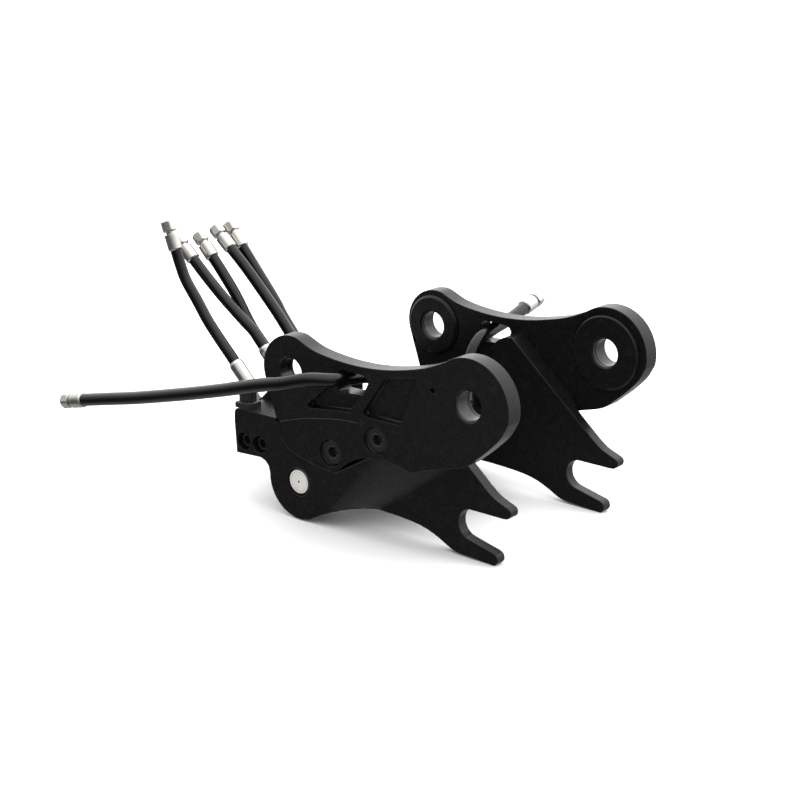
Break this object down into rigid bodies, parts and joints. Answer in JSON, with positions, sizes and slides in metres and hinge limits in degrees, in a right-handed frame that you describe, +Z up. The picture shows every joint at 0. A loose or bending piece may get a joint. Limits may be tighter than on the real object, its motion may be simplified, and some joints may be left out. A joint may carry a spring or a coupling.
{
  "type": "excavator quick coupler",
  "caption": "Black steel quick coupler for a small excavator: two pin ears, open hook side frames, hydraulic lock pins driven sideways, port block and hoses.",
  "frame": {"origin": "on the floor under the middle of the coupler, hoses and ferrules apart", "axes": "+X towards the open hooks, +Y to the coupler's right-hand side, +Z up"},
  "size_m": [0.8722, 0.5908, 0.419],
  "materials": {
    "black_paint": "gloss black powder coat on steel plate",
    "ground_steel": "ground and hardened steel",
    "zinc_plated_steel": "bright zinc plate",
    "black_oxide_steel": "black oxide, satin",
    "bush_bronze": "turned bronze",
    "hose_rubber": "smooth black hose cover"
  },
  "bodies": {
    "coupler": {"boss_ring_front_left": "black_paint", "boss_ring_front_right": "black_paint", "boss_ring_rear_left": "black_paint", "boss_ring_rear_right": "black_paint", "bush_front_left": "ground_steel", "bush_front_right": "ground_steel", "bush_rear_left": "ground_steel", "bush_rear_right": "ground_steel", "check_valve": "black_oxide_steel", "cross_housing": "black_paint", "cylinder_barrel": "zinc_plated_steel", "cylinder_head_left": "zinc_plated_steel", "cylinder_head_right": "zinc_plated_steel", "deck_fitting_left": "zinc_plated_steel", "deck_fitting_right": "zinc_plated_steel", "ear_plate_left": "black_paint", "ear_plate_right": "black_paint", "ear_screw_1_left": "black_oxide_steel", "ear_screw_1_right": "black_oxide_steel", "ear_screw_2_left": "black_oxide_steel", "ear_screw_2_right": "black_oxide_steel", "feed_pipe_1": "zinc_plated_steel", "feed_pipe_2": "zinc_plated_steel", "ferrule_1": "zinc_plated_steel", "ferrule_2": "zinc_plated_steel", "ferrule_3": "zinc_plated_steel", "ferrule_4": "zinc_plated_steel", "ferrule_5": "zinc_plated_steel", "hose_end_1": "zinc_plated_steel", "hose_end_2": "zinc_plated_steel", "hose_end_3": "zinc_plated_steel", "hose_end_4": "zinc_plated_steel", "hose_end_5": "zinc_plated_steel", "lock_bush_left": "bush_bronze", "lock_bush_right": "bush_bronze", "manifold_block": "black_oxide_steel", "port_adapter_1": "zinc_plated_steel", "port_adapter_2": "zinc_plated_steel", "port_adapter_3": "zinc_plated_steel", "port_adapter_4": "zinc_plated_steel", "port_adapter_5": "zinc_plated_steel", "service_hose_1": "hose_rubber", "service_hose_2": "hose_rubber", "service_hose_3": "hose_rubber", "service_hose_4": "hose_rubber", "service_hose_5": "hose_rubber", "side_frame_left": "black_paint", "side_frame_right": "black_paint", "side_hose_end_left": "zinc_plated_steel", "side_hose_end_right": "zinc_plated_steel", "side_hose_left": "hose_rubber", "side_hose_right": "hose_rubber", "tab_screw_1": "black_oxide_steel", "tab_screw_2": "black_oxide_steel"},
    "lock_left": {"lock_pin_left": "ground_steel", "piston_rod_left": "ground_steel"},
    "lock_right": {"lock_pin_right": "ground_steel", "piston_rod_right": "ground_steel"}
  },
  "joints": [
    {"name": "lock_left_slide", "type": "slide", "parent": "coupler", "child": "lock_left", "axis": [0, -1, 0], "range_m": [0, 0.04]},
    {"name": "lock_right_slide", "type": "slide", "parent": "coupler", "child": "lock_right", "axis": [0, 1, 0], "range_m": [0, 0.04]}
  ],
  "couplings": [
    {"joint": "lock_right_slide", "follows": "lock_left_slide", "ratio": 1}
  ]
}
